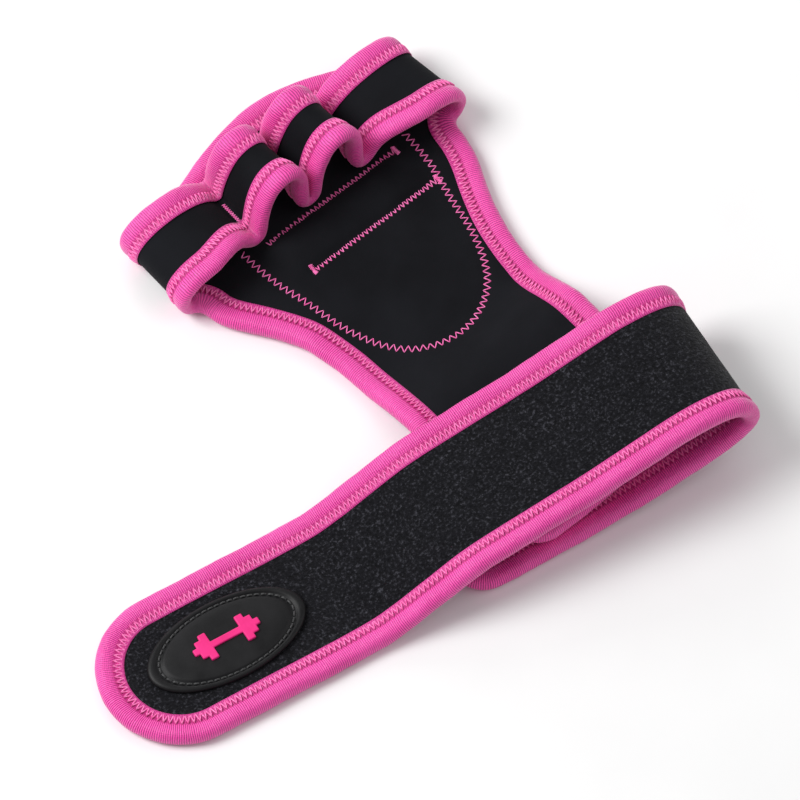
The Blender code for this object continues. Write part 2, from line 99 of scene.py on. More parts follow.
# Half of the strip seen along its edge, as (x, z): a valley, a middle loop, a valley and an outer loop.
STRIP_HALF_PATH = [(0, 7.5), (2.3, 8.6), (2.7, 13.2), (3.6, 19.2), (6.4, 24.4), (10.7, 26.2),
                   (15.0, 24.4), (17.8, 19.2), (18.7, 13.2), (19.1, 8.6), (21.4, 7.5), (23.7, 8.6),
                   (26.4, 11.9), (31.2, 15.2), (38.5, 17.0), (45.8, 16.3), (50.8, 13.3), (52.3, 9.0),
                   (51.4, 5.3), (49.6, 3.0), (48.1, 2.6), (46.9, 2.6)]
VALLEY_Z = STRIP_HALF_PATH[0][1]
STRIP_FINGER_Y = 117.6
STRIP_WRIST_Y = (93.2, 89.4)
STRIP_LEAN = 2.0             # the middle loops lean towards the fingers
LOOP_SWAY = (3.0, 0.6)       # and towards the thumb side, at the wrist edge and the finger edge
LEAN_Z = (8.0, 26.0)

TAPE_STITCH = dict(half=1.6, pitch=1.7, radius=0.24)
NOSE = 1.4
HALF_CLOTH = 1.55            # half the thickness of the panel and the strap
PANEL_UNDER = HALF_CLOTH + 0.05
PLUSH_TOP = 1.62
SPLIT = 0.05                 # half the gap between the strap's plush and its lining
HALF_STRIP = 1.0
STITCH_IN = 5.5              # the bindings' stitch line, from the cloth's edge
BADGE_CENTRE = (-173.7, 25.2)
BADGE_RADII = (26.2, 13.3)
BADGE_BASE = 4.4             # its foot, in the plush
HOOK_CORNER = (-196.5, 10.5, 0.0)
SHARP_ANGLE = math.radians(62)

SHIFT = np.array(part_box("hook_tape")[0]) / MM - np.array(HOOK_CORNER)


# ---- curves and surfaces -----------------------------------------------------------------

def step_up(low, high, value):
    t = np.clip((np.asarray(value, float) - low) / (high - low), 0.0, 1.0)
    return t * t * (3.0 - 2.0 * t)


def unit(v):
    return v / np.maximum(np.linalg.norm(v, axis=-1, keepdims=True), 1e-9)


def arc(points):
    return np.concatenate([[0.0], np.cumsum(np.linalg.norm(np.diff(points, axis=0), axis=1))])


def resample(points, step, closed=False):
    """The polyline's points at an even spacing of about step, with their distances along it."""
    points = np.asarray(points, float)
    if closed:
        points = np.vstack([points, points[:1]])
    s = arc(points)
    count = max(2, int(round(s[-1] / step)))
    at = np.linspace(0.0, s[-1], count + 1)
    at = at[:-1] if closed else at
    return np.stack([np.interp(at, s, points[:, k]) for k in range(points.shape[1])], axis=1), at


def relax(values, reach, closed=False):
    """Moving average with a bell-shaped window of reach samples to each side; open ends stay put."""
    if reach < 1:
        return values
    weights = np.exp(-0.5 * (np.arange(-reach, reach + 1) / (reach / 2.0)) ** 2)
    weights /= weights.sum()
    if closed:
        padded = np.concatenate([values[-reach:], values, values[:reach]])
    else:
        start = 2 * values[:1] - values[reach:0:-1]
        end = 2 * values[-1:] - values[-2:-reach - 2:-1]
        padded = np.concatenate([start, values, end])
    return sum(w * padded[k:k + len(values)] for k, w in enumerate(weights))


def curve(points, step=0.8):
    """Catmull-Rom curve through the points, evenly sampled."""
    p = np.asarray([points[0]] + list(points) + [points[-1]], float)
    out = []
    t = np.linspace(0.0, 1.0, 24, endpoint=False)[:, None]
    for i in range(1, len(p) - 2):
        a, b, c, d = p[i - 1:i + 3]
        out.append(0.5 * (2 * b + (c - a) * t + (2 * a - 5 * b + 4 * c - d) * t ** 2
                          + (3 * b - a - 3 * c + d) * t ** 3))
    out.append(p[-1][None])
    return resample(np.vstack(out), step)[0]


def tangents(points, closed=False):
    if closed:
        return unit(np.roll(points, -1, axis=0) - np.roll(points, 1, axis=0))
    return unit(np.gradient(points, axis=0))


def ripple(s, seed, length):
    """Slow uneven wave of about unit height, for cloth that isn't quite straight."""
    rng = np.random.default_rng(seed)
    total = np.zeros_like(np.asarray(s, float))
    for share, weight in ((1.0, 0.55), (0.47, 0.3), (0.23, 0.15)):
        total += weight * np.sin(2 * math.pi * s / (length * share) + rng.uniform(0, 2 * math.pi))
    return total


# ---- meshes ------------------------------------------------------------------------------

def make(name, verts, faces, material, uv=None, lap=None):
    """Object from millimetre layout points; uv holds one pair for each point.

    lap is (points in a row, first closing face, u at the loop's end) for a closed tape.
    """
    mesh = bpy.data.meshes.new(name)
    mesh.from_pydata(((np.asarray(verts) + SHIFT) * MM).tolist(), [], faces)
    mesh.materials.append(material)
    if uv is not None:
        layer = mesh.uv_layers.new(name="along")
        corner = np.empty(len(mesh.loops), dtype=np.int64)
        mesh.loops.foreach_get("vertex_index", corner)
        values = np.asarray(uv, np.float32)[corner]
        if lap:
            row, first_face, end_u = lap
            face_of = np.repeat(np.arange(len(faces)), [len(f) for f in faces])
            values[(face_of >= first_face) & (corner < row), 0] = end_u
        layer.data.foreach_set("uv", values.ravel())
    work = bmesh.new()
    work.from_mesh(mesh)
    bmesh.ops.recalc_face_normals(work, faces=work.faces)
    work.to_mesh(mesh)
    work.free()
    mesh.shade_smooth()
    mesh.set_sharp_from_angle(angle=SHARP_ANGLE)
    piece = bpy.data.objects.new(name, mesh)
    bpy.context.scene.collection.objects.link(piece)
    return piece


def lattice(rows, cols, base=0, wrap_rows=False, wrap_cols=False):
    faces = []
    for i in range(rows if wrap_rows else rows - 1):
        for j in range(cols if wrap_cols else cols - 1):
            k, m = (i + 1) % rows, (j + 1) % cols
            faces.append((base + i * cols + j, base + i * cols + m,
                          base + k * cols + m, base + k * cols + j))
    return faces


def grid_normals(grid):
    along, across = np.gradient(grid, axis=0), np.gradient(grid, axis=1)
    return unit(np.cross(across, along))


def cloth(name, grid, low, high, material):
    """Closed sheet between two offsets of a grid."""
    rows, cols = grid.shape[:2]
    normal = grid_normals(grid)
    offsets = [np.broadcast_to(np.asarray(v, float), (rows, cols))[..., None] for v in (high, low)]
    verts = np.concatenate([(grid + normal * offset).reshape(-1, 3) for offset in offsets])
    top = lattice(rows, cols)
    under = [f[::-1] for f in lattice(rows, cols, rows * cols)]
    ring = list(range(cols)) + [i * cols + cols - 1 for i in range(1, rows)]
    ring += [(rows - 1) * cols + j for j in range(cols - 2, -1, -1)]
    ring += [i * cols for i in range(rows - 2, 0, -1)]
    size = rows * cols
    rim = [(a, b, b + size, a + size) for a, b in zip(ring, ring[1:] + ring[:1])]
    return make(name, verts, top + under + rim, material)


def tube(name, rings, material, closed=False, uv=None, end_u=0.0):
    """Skin over rings of points; an open one gets flat ends, a closed one ends its texture at end_u."""
    count, size = rings.shape[:2]
    faces = lattice(count, size, wrap_rows=closed, wrap_cols=True)
    if not closed:
        faces += [tuple(range(size)), tuple(range((count - 1) * size, count * size))[::-1]]
    lap = (size, (count - 1) * size, end_u) if closed else None
    pairs = None if uv is None else uv.reshape(-1, 2)
    return make(name, rings.reshape(-1, 3), faces, material, pairs, lap)


# Half of the binding's section, from its lip to its nose, as (out from the cloth's edge, height).
TAPE = [(-7.2, 1.62), (-7.32, 1.74), (-7.22, 1.92), (-6.8, 2.0), (-5.6, 2.0), (-4.6, 1.96), (-3.9, 2.1),
        (-3.2, 2.42), (-2.3, 2.68), (-1.2, 2.76), (-0.3, 2.62), (0.5, 2.2), (1.1, 1.4), (1.4, 0.5)]
TAPE_SLOT = (0.2, 1.6)       # the slot that holds the cloth: its end, and half its height
TAPE_WAVE = (0.05, 37.0)     # share and length of the tape's uneven thickness
LIP_WAVE = (0.12, 23.0)      # depth and length of its uneven lip
LIP_FIXED = -6.9             # the lip's own edge doesn't wander
SKIN_FROM = 1.7              # points this far from the middle are on the outer skin
STITCH_HEIGHT = 2.1          # of the bindings' stitches over the cloth's middle
STITCH_TILT = 0.24           # they climb towards the nose


def tape(name, edge, normal, closed, material, scale=1.0, seed=1, side=1.0):
    """Binding folded round a cloth's edge: a rounded C section along it, with a wavy, ribbed skin.

    Returns the piece and its stitch line on each face, as (points, across, outward normals).
    """
    s = arc(np.vstack([edge, edge[:1]]))[:-1] if closed else arc(edge)
    tangent = tangents(edge, closed)
    out = unit(np.cross(tangent, normal)) * side
    flat = np.broadcast_to(np.asarray(scale, float), (len(edge),))[:, None]
    outer = TAPE + [(a, -b) for a, b in reversed(TAPE)]
    lip, slot_end, wall = TAPE[0][0], TAPE_SLOT[0], TAPE_SLOT[1]
    inner = [(lip, -wall), (slot_end, -wall), (slot_end, wall), (lip, wall)]
    section = np.array(outer + inner)
    from_lip = arc(np.array(TAPE))
    width = np.concatenate([from_lip, from_lip[::-1], np.zeros(len(inner))])
    wave = 1.0 + TAPE_WAVE[0] * ripple(s, seed, TAPE_WAVE[1])[:, None]
    reach = LIP_WAVE[0] * ripple(s, seed + 7, LIP_WAVE[1])[:, None]
    rings = np.stack([edge + out * (a + (reach if a > LIP_FIXED else 0.0))
                      + normal * b * flat * (wave if abs(b) > SKIN_FROM else 1.0)
                      for a, b in section], axis=1)
    uv = np.stack([np.repeat(s[:, None], len(section), 1),
                   np.repeat(width[None], len(edge), 0)], axis=2)
    end_u = float(arc(np.vstack([edge, edge[:1]]))[-1])
    piece = tube(name, rings, material, closed, uv, end_u)
    lines = [(edge - out * STITCH_IN + normal * (STITCH_HEIGHT * flat * face),
              unit(out + normal * (STITCH_TILT * face)), normal * face) for face in (1, -1)]
    return piece, lines


KNOTS = 8                    # points in one pitch of a zigzag
THREAD_SIDES = 6
THREAD_LIFT = 0.14           # a thread stands up between the ends of its swing,
THREAD_SINK = 0.08           # where it goes into the cloth


def zigzag(line, across, normal, half, pitch, radius, closed=False):
    """Rings of a zigzag thread lying along a line on a surface."""
    packed = np.concatenate([line, across, normal], axis=1)
    s = arc(np.vstack([line, line[:1]]))[:-1] if closed else arc(line)
    total = (arc(np.vstack([line, line[:1]])) if closed else s)[-1]
    pitches = max(1, round(total / pitch))
    knots = KNOTS * pitches + (0 if closed else 1)
    at = np.linspace(0.0, total, knots, endpoint=not closed)
    if closed:
        packed, s = np.vstack([packed, packed[:1]]), np.append(s, total)
    data = np.stack([np.interp(at, s, column) for column in packed.T], axis=1)
    phase = (np.arange(knots) % KNOTS) / KNOTS
    swing = 1.0 - 4.0 * np.abs(phase - 0.5)
    rise = THREAD_LIFT * (1.0 - swing ** 4) - THREAD_SINK
    up = unit(data[:, 6:])
    path = data[:, :3] + unit(data[:, 3:6]) * (half * swing)[:, None] + up * rise[:, None]
    along = tangents(path, closed)
    first = unit(up - along * (up * along).sum(axis=1, keepdims=True))
    second = np.cross(along, first)
    turns = np.arange(THREAD_SIDES) / THREAD_SIDES * 2 * math.pi
    return np.stack([path + (first * math.cos(a) + second * math.sin(a)) * radius
                     for a in turns], axis=1)


def strands(name, parts, material):
    """One piece from several skins over rings; each part is (rings, closed)."""
    verts, faces = [], []
    base = 0
    for rings, closed in parts:
        count, size = rings.shape[:2]
        verts.append(rings.reshape(-1, 3))
        faces += lattice(count, size, base, closed, True)
        if not closed:
            faces += [tuple(base + k for k in range(size)),
                      tuple(base + (count - 1) * size + k for k in range(size))[::-1]]
        base += count * size
    return make(name, np.vstack(verts), faces, material)


def thread(name, seams, material, **options):
    """One piece from several zigzag lines; each seam is (line, across, normal, closed)."""
    parts = [(zigzag(line, across, normal, closed=closed, **options), closed)
             for line, across, normal, closed in seams]
    return strands(name, parts, material)


# ---- materials ---------------------------------------------------------------------------

class Surface:
    """A Principled material with short ways to add textures."""

    def __init__(self, name, **sockets):
        self.material = bpy.data.materials.new(name)
        self.material.use_nodes = True
        self.tree = self.material.node_tree
        self.shader = self.tree.nodes["Principled BSDF"]
        for key, value in sockets.items():
            self.shader.inputs[key.replace("_", " ")].default_value = value
        self.place = self.node("ShaderNodeTexCoord").outputs["Object"]

    def node(self, kind, inputs=(), **settings):
        node = self.tree.nodes.new(kind)
        for key, value in settings.items():
            setattr(node, key, value)
        for key, value in dict(inputs).items():
            if isinstance(value, bpy.types.NodeSocket):
                self.tree.links.new(value, node.inputs[key])
            else:
                node.inputs[key].default_value = value
        return node

    def noise(self, size_mm, detail=2.0, rough=0.5):
        """Noise whose features are about size_mm across."""
        return self.node("ShaderNodeTexNoise", {"Vector": self.place, "Scale": 1.0 / (size_mm * MM),
                                                "Detail": detail, "Roughness": rough}).outputs["Fac"]

    def cells(self, size_mm):
        return self.node("ShaderNodeTexVoronoi",
                         {"Vector": self.place, "Scale": 1.0 / (size_mm * MM)}).outputs["Distance"]

    def maths(self, operation, a, b=0.0):
        return self.node("ShaderNodeMath", {0: a, 1: b}, operation=operation).outputs[0]

    def along(self, axis):
        """Millimetres along (X) or across (Y) a binding."""
        uv = self.node("ShaderNodeUVMap", uv_map="along").outputs[0]
        return self.node("ShaderNodeSeparateXYZ", {0: uv}).outputs[axis]

    def wave(self, value, pitch):
        turned = self.maths("MULTIPLY", value, 2 * math.pi / pitch)
        return self.maths("MULTIPLY_ADD", self.maths("SINE", turned), 0.5)

    def ramp(self, value, *stops):
        node = self.node("ShaderNodeValToRGB", {0: value})
        band = node.color_ramp
        while len(band.elements) < len(stops):
            band.elements.new(0.5)
        for element, (position, colour) in zip(band.elements, stops):
            element.position = position
            element.color = (*(colour if hasattr(colour, "__len__") else [colour] * 3), 1.0)
        return node.outputs[0]

    def blend(self, share, a, b):
        node = self.node("ShaderNodeMix", data_type="RGBA")
        for key, value in ((0, share), (6, a), (7, b)):
            if isinstance(value, bpy.types.NodeSocket):
                self.tree.links.new(value, node.inputs[key])
            else:
                node.inputs[key].default_value = (*value, 1.0) if hasattr(value, "__len__") else value
        return node.outputs[2]

    def set(self, key, value):
        self.tree.links.new(value, self.shader.inputs[key])

    def bump(self, *layers):
        """Bump from (height, depth in mm) layers, the coarsest first."""
        normal = None
        for height, depth in layers:
            inputs = {"Height": height, "Strength": 1.0, "Distance": depth * MM}
            if normal:
                inputs["Normal"] = normal
            normal = self.node("ShaderNodeBump", inputs).outputs[0]
        self.set("Normal", normal)


def pink_tape():
    """Ribbed folded tape: ribs run across it, with fine ends along it."""
    s = Surface("pink_tape", Specular_IOR_Level=0.45, Sheen_Weight=0.3, Sheen_Roughness=0.4)
    jitter = s.maths("MULTIPLY", s.noise(2.5), 0.5)
    ribs = s.wave(s.maths("ADD", s.along(0), jitter), 0.66)
    ends = s.wave(s.along(1), 0.62)
    cloudy = s.noise(14.0, 3.0)
    # The colour follows the ribs: painted shade between them and painted highlight on their crests.
    base = s.ramp(ribs, (0.0, (0.30, 0.006, 0.12)), (0.4, (0.74, 0.032, 0.31)),
                  (1.0, (1.0, 0.095, 0.48)))
    # Lighter patches in the highlight pink are laid over it at random: painted highlight.
    lit = s.blend(s.ramp(cloudy, (0.35, 0.0), (0.75, 0.35)), base, (1.0, 0.13, 0.52))
    # Darker along the stitched margin, and darkest in the dip between the lip and the bulge, which is
    # painted shade.
    margin_tone_groove_shade = s.ramp(s.maths("MULTIPLY", s.along(1), 0.1),             # centimetres from the tape's lip
                  (0.0, 0.55), (0.24, 0.5), (0.33, 1.0), (0.44, 0.0))
    s.set("Base Color", s.blend(margin_tone_groove_shade, lit, (0.46, 0.012, 0.18)))
    s.set("Roughness", s.ramp(s.noise(1.2, 3.0), (0.3, 0.36), (0.7, 0.56)))
    s.bump((s.noise(1.1, 2.0), 0.22), (ribs, 0.09), (ends, 0.035), (s.noise(0.35, 2.0), 0.03))
    return s.material


def black_jersey(name, weave=0.045):
    """Smooth knit over foam: a fine even grain, a faint sheen and slow changes of tone."""
    s = Surface(name, Specular_IOR_Level=0.07, Sheen_Weight=0.02, Sheen_Roughness=0.5)
    slow, grain = s.noise(22.0, 3.0), s.noise(0.45, 2.0, 0.6)
    s.set("Base Color", s.blend(s.ramp(slow, (0.3, 0.0), (0.7, 1.0)),
                                (0.0042, 0.0044, 0.0058), (0.0084, 0.0088, 0.0112)))
    s.set("Roughness", s.ramp(slow, (0.3, 0.72), (0.7, 0.84)))
    s.bump((s.noise(6.0, 2.0), 0.25), (grain, weave))
    return s.material


def black_plush():
    """Unbroken loop pile: dark, flecked, softly uneven."""
    s = Surface("black_plush", Roughness=0.95, Specular_IOR_Level=0.05, Sheen_Weight=0.10,
                Sheen_Roughness=0.55)
    fleck, clump, patch = s.noise(0.9, 3.0, 0.65), s.noise(2.4, 3.0, 0.6), s.noise(16.0, 2.0)
    tone = s.ramp(fleck, (0.40, (0.0018, 0.0018, 0.0026)), (0.55, (0.0080, 0.0080, 0.0105)),
                  (0.70, (0.062, 0.062, 0.075)))
    lifted = s.blend(s.ramp(clump, (0.35, 0.0), (0.7, 0.55)), tone, (0.007, 0.007, 0.0095))
    s.set("Base Color", s.blend(s.ramp(patch, (0.3, 0.0), (0.75, 0.35)), lifted, (0.004, 0.004, 0.0056)))
    s.bump((patch, 0.5), (clump, 0.5), (fleck, 0.35))
    return s.material


def pink_thread(name="pink_thread", base=((0.80, 0.055, 0.32), (1.0, 0.26, 0.60))):
    s = Surface(name, Specular_IOR_Level=0.4, Sheen_Weight=0.2)
    s.set("Base Color", s.blend(s.ramp(s.noise(0.6, 2.0), (0.3, 0.0), (0.7, 1.0)), *base))
    s.set("Roughness", s.ramp(s.noise(0.9), (0.3, 0.38), (0.7, 0.6)))
    s.bump((s.noise(0.22, 1.0), 0.06))
    return s.material


def moulded(name, low, high, rough, grain=0.3, depth=0.03, specular=0.42):
    """Moulded rubber: fine grain, a little wear and dust."""
    s = Surface(name, Specular_IOR_Level=specular)
    wear = s.noise(9.0, 4.0, 0.6)
    s.set("Base Color", s.blend(s.ramp(wear, (0.35, 0.0), (0.75, 1.0)), low, high))
    s.set("Roughness", s.ramp(wear, (0.3, rough), (0.7, rough + 0.16)))
    s.bump((s.noise(grain, 2.0), depth))
    return s.material


def dotted_rubber():
    s = Surface("dotted_rubber", Specular_IOR_Level=0.35)
    dots = s.ramp(s.cells(2.6), (0.28, 1.0), (0.42, 0.0))
    s.set("Base Color", s.blend(dots, (0.010, 0.010, 0.011), (0.020, 0.020, 0.022)))
    s.set("Roughness", s.ramp(s.noise(5.0, 3.0), (0.3, 0.45), (0.7, 0.7)))
    s.bump((dots, 0.3), (s.noise(0.4), 0.04))
    return s.material


def hook_tape_material():
    s = Surface("hook_pile", Specular_IOR_Level=0.3)
    hooks = s.ramp(s.cells(1.1), (0.12, 1.0), (0.45, 0.0))
    s.set("Base Color", s.blend(hooks, (0.008, 0.008, 0.009), (0.045, 0.045, 0.048)))
    s.set("Roughness", s.ramp(hooks, (0.0, 0.75), (1.0, 0.5)))
    s.bump((hooks, 0.6), (s.noise(0.3), 0.05))
    return s.material


PINK, THREAD, PLUSH = pink_tape(), pink_thread(), black_plush()
JERSEY, STRETCH = black_jersey("black_jersey"), black_jersey("stretch_jersey", 0.07)
RUBBER = moulded("badge_rubber", (0.0045, 0.0045, 0.0052), (0.009, 0.009, 0.010), 0.40,
                 specular=0.22)
BLACK_THREAD = pink_thread("black_thread", ((0.010, 0.010, 0.011), (0.030, 0.030, 0.032)))
EMBLEM = moulded("emblem_pink", (0.72, 0.010, 0.17), (0.85, 0.020, 0.24), 0.42, 0.25, 0.015)


# ---- strap -------------------------------------------------------------------------------

strap_line = relax(curve(BACK_PATH + [FOLD] + FRONT_PATH), 4)
strap_s = arc(strap_line)
front_from = int(np.argmax(strap_line[:, 1]))
cut_s = float(np.interp(-FRONT_CUT_X, -strap_line[front_from:, 0], strap_s[front_from:]))
START_S = NOSE
END_S = strap_s[-1] - NOSE
EDGES = (NOSE, STRAP_WIDTH - NOSE)
TIP_RADIUS = (EDGES[1] - EDGES[0]) / 2
strap_tangent = tangents(strap_line)


def on_strap(s):
    """Points of the strap's middle line and its outward normals, at distances s along it."""
    at = np.stack([np.interp(s, strap_s, strap_line[:, k]) for k in (0, 1)], axis=-1)
    way = unit(np.stack([np.interp(s, strap_s, strap_tangent[:, k]) for k in (0, 1)], axis=-1))
    return at, np.stack([way[..., 1], -way[..., 0]], axis=-1)


def strap_point(s, y):
    at, _ = on_strap(s)
    return np.stack([at[..., 0], y, at[..., 1]], axis=-1)


def inset(s):
    """How far the outline is drawn in at s, for the short end's corners and the half-round tip."""
    near, far = np.clip(s - START_S, 0, END_CORNER), np.clip(END_S - s, 0, TIP_RADIUS)
    first = END_CORNER - np.sqrt(np.maximum(END_CORNER ** 2 - (END_CORNER - near) ** 2, 0.0))
    last = TIP_RADIUS - np.sqrt(np.maximum(TIP_RADIUS ** 2 - (TIP_RADIUS - far) ** 2, 0.0))
    return first + last


STRAP_COLUMNS = 31
STRAP_WAVE = (0.16, 41.0)    # height and length of the band's unevenness


def strap_grid(stations):
    across = np.linspace(-1.0, 1.0, STRAP_COLUMNS)
    half = (TIP_RADIUS - inset(stations))[:, None] * across[None]
    y = (EDGES[0] + EDGES[1]) / 2 + half
    s = np.repeat(stations[:, None], STRAP_COLUMNS, 1)
    grid = strap_point(s, y)
    wave = STRAP_WAVE[0] * ripple(s + 0.7 * y, 3, STRAP_WAVE[1]) * (1.0 - (half / TIP_RADIUS) ** 2)
    _, normal = on_strap(s)
    grid[..., 0] += normal[..., 0] * wave
    grid[..., 2] += normal[..., 1] * wave
    return grid


def strap_side(s, y):
    """Points along one of the strap's edges, with the strap's outward normals."""
    _, normal = on_strap(s)
    return np.concatenate([strap_point(s, y), normal[:, :1], np.zeros((len(s), 1)), normal[:, 1:]], axis=1)


turn = np.linspace(0.0, math.pi / 2, 14)
corner_s = START_S + END_CORNER * (1 - np.cos(turn))
tip_turn = np.linspace(math.pi / 2, 0.03, 30)
tip_s = END_S - TIP_RADIUS * (1 - np.cos(tip_turn))
folded = np.concatenate([corner_s, np.linspace(corner_s[-1], cut_s, 150)[1:]])
free = np.concatenate([np.linspace(cut_s, tip_s[0], 170)[:-1], tip_s])

# Where each of the strap's two bends starts and ends, in layout points.
FOLD_BEND = ((0, 25, 11.0), (0, 25, 28.0))
TIP_BEND = ((-134.0, 25, 0), (-148.0, 25, 0))


def bend(piece, a, b, ends):
    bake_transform(piece)
    return piece


for label, stations, bodies, ends, nodes, bound in (
        ("folded", folded, ("wrist_band", "front_wrap"), FOLD_BEND, ("back",), ("back",)),
        ("free", free, ("front_wrap", "strap_tip"), TIP_BEND, ("front", "tip"),
         ("front_lower", "front_upper", "tip"))):
    grid = strap_grid(stations)
    outer = cloth("strap_plush_" + label, grid, SPLIT, PLUSH_TOP, PLUSH)
    inner = cloth("strap_lining_" + label, grid, -HALF_CLOTH, -SPLIT, JERSEY)
    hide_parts(*["strap_plush_" + n for n in nodes], *["strap_core_" + n for n in nodes])
    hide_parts(*["strap_lining_" + n for n in nodes])

    upper = strap_side(stations[::-1], EDGES[1] - inset(stations[::-1]))
    lower = strap_side(stations, EDGES[0] + inset(stations))
    path = np.concatenate([upper, lower] if label == "folded" else [lower, upper])
    keep = np.concatenate([[True], np.linalg.norm(np.diff(path[:, :3], axis=0), axis=1) > 1e-4])
    path = resample(path[keep], 0.75)[0]
    edge, normal = path[:, :3], unit(path[:, 3:])
    binding, lines = tape("strap_binding_" + label, edge, normal, False, PINK, seed=11, side=-1.0)
    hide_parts(*["strap_binding_" + n for n in bound])
    stitches = thread("strap_stitch_" + label, [(*line, False) for line in lines], THREAD,
                      **TAPE_STITCH)
    for piece in (outer, inner, binding, stitches):
        bend(piece, *bodies, ends)


# ---- panel -------------------------------------------------------------------------------

back_line = strap_line[:int(np.argmin(np.linalg.norm(strap_line - np.array(FOLD), axis=1)))]
fine_y = np.arange(-50.0, 141.0, 1.0)
edge_lines = [relax(np.interp(fine_y, *np.array(table, float).T)[:, None], 6)[:, 0]
              for table in (LEFT_EDGE, RIGHT_EDGE)]


def panel_x(share, y):
    """The hand frame's x at a share of the panel's half width: -1 is the left edge, 1 the right."""
    left, right = (np.interp(y, fine_y, line) for line in edge_lines)
    return (left + right) / 2 + share * (right - left) / 2


def place(x, y, z):
    """Layout point from the hand frame."""
    c, s = math.cos(HAND_TURN), math.sin(HAND_TURN)
    x, y, z = np.broadcast_arrays(np.asarray(x, float), y, z)
    return np.stack([HAND_ORIGIN[0] + x * c - y * s, HAND_ORIGIN[1] + x * s + y * c, z], axis=-1)


def panel_height(x, y):
    flat = place(x, y, 0.0)
    raised = np.interp(flat[..., 0], back_line[:, 0], back_line[:, 1]) + PANEL_ON_STRAP
    return raised + (FLAT_Z - raised) * step_up(*RAMP, y)


def on_panel(x, y):
    return place(x, y, panel_height(x, y))


def panel_normal(x, y):
    d = 0.5
    across = on_panel(x + d, y) - on_panel(x - d, y)
    along = on_panel(x, y + d) - on_panel(x, y - d)
    return unit(np.cross(across, along))


finger_s = np.linspace(-1.0, 1.0, 201)
finger_line = relax(np.interp(finger_s, *np.array(FINGER_EDGE, float).T)[:, None], 16)[:, 0]


def finger_edge(s):
    return np.interp(s, finger_s, finger_line)


pad = np.array(PAD_HALF_WIDTHS, float)
pad_outline = curve([(PAD_CENTRE - w, y) for y, w in pad[::-1]] + [(PAD_CENTRE + w, y) for y, w in pad])
pad_outline = relax(pad_outline, 8)
cross_lines = [np.stack([np.linspace(x0, x1, 60), np.full(60, y)], axis=1)
               for y, (x0, x1) in zip(CHANNEL_Y, CHANNEL_X)]


def distance_to(line, x, y):
    points = np.stack([x.ravel(), y.ravel()], axis=1)
    return np.min(np.linalg.norm(points[:, None] - line[None, ::2], axis=2), axis=1).reshape(x.shape)


def top_rise(x, y):
    """Height of the panel's upper skin over its middle: padding, with a dip along each seam."""
    x, y = np.asarray(x, float), np.asarray(y, float)
    low, high = CHANNEL_Y
    across = np.sin(math.pi * np.clip((y - low) / (high - low), 0.0, 1.0)) ** 0.7
    ends = step_up(*CHANNEL_FADE[0], x) * (1.0 - step_up(*CHANNEL_FADE[1], x))
    rise = HALF_CLOTH + CHANNEL_RISE * across * ends
    outline = distance_to(pad_outline, x, y)
    left, right = panel_x(-1.0, y), panel_x(1.0, y)
    share = np.clip((2 * x - left - right) / (right - left), -1.0, 1.0)
    inside = np.minimum(np.minimum(x - left, right - x), finger_edge(share) - y)
    padded = step_up(*PADDING_FROM, inside)
    rise += PADDING * (1.0 - np.exp(-(outline / PADDING_REACH) ** 2)) * padded
    rise -= OUTLINE_DIP * np.exp(-(outline / DIP_REACH) ** 2)
    for line in cross_lines:
        rise -= CROSS_DIP * np.exp(-(distance_to(line, x, y) / DIP_REACH) ** 2)
    return rise + PANEL_WAVE[0] * ripple(x + 0.6 * y, 5, PANEL_WAVE[1]) * padded


# The panel's columns stand closer together towards its edges.
even = np.linspace(-1.0, 1.0, 71)
columns = np.sin(even * math.pi / 2) * 0.35 + even * 0.65
half_bottom = float(panel_x(1, PANEL_BOTTOM) - panel_x(-1, PANEL_BOTTOM)) / 2
centre_bottom = float(panel_x(0, PANEL_BOTTOM))


def lower_edge(s, half):
    """The wrist end's y at each column, with rounded corners."""
    x = np.abs(s) * half
    over = np.clip(x - (half - PANEL_CORNER), 0.0, PANEL_CORNER)
    return PANEL_BOTTOM + PANEL_CORNER - np.sqrt(PANEL_CORNER ** 2 - over ** 2)


low_y = lower_edge(columns, half_bottom)
high_y = finger_edge(columns)
rows_t = np.linspace(0.0, 1.0, 150)[:, None]
panel_y = low_y + (high_y - low_y) * rows_t
panel_wide = panel_x(columns[None], panel_y)
panel_grid = on_panel(panel_wide, panel_y)
panel_top = top_rise(panel_wide, panel_y)
panel = cloth("palm_panel", panel_grid, -PANEL_UNDER, panel_top, JERSEY)
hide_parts("panel_core_wrist", "panel_shell_wrist", "panel_liner_wrist", "panel_core_palm",
            "panel_shell_palm", "panel_liner_palm", "channel_foam")

hand_axis = np.array([-math.sin(HAND_TURN), math.cos(HAND_TURN), 0.0])
flex = [np.array([*HAND_ORIGIN, 0.0]) + hand_axis * y for y in FLEX_ZONE]
bend(panel, "wrist_band", "palm", flex)

# ---- finger strip ------------------------------------------------------------------------

half_path = curve(STRIP_HALF_PATH, 0.5)
strip_path = np.vstack([half_path[::-1], half_path[1:] * (-1, 1)])      # right end to left end
strip_path = relax(resample(strip_path, 0.6)[0], 3)


def loop_lean(x, z):
    """How much of the middle loops' lean a point has."""
    return step_up(*LEAN_Z, z) * (1.0 - step_up(VALLEY_PITCH - 1.5, VALLEY_PITCH + 1.5, np.abs(x)))


def strip_low(x, z):
    low = STRIP_WRIST_Y[0] + (STRIP_WRIST_Y[1] - STRIP_WRIST_Y[0]) * step_up(24.0, 42.0, np.abs(x))
    return low + STRIP_LEAN * loop_lean(x, z)


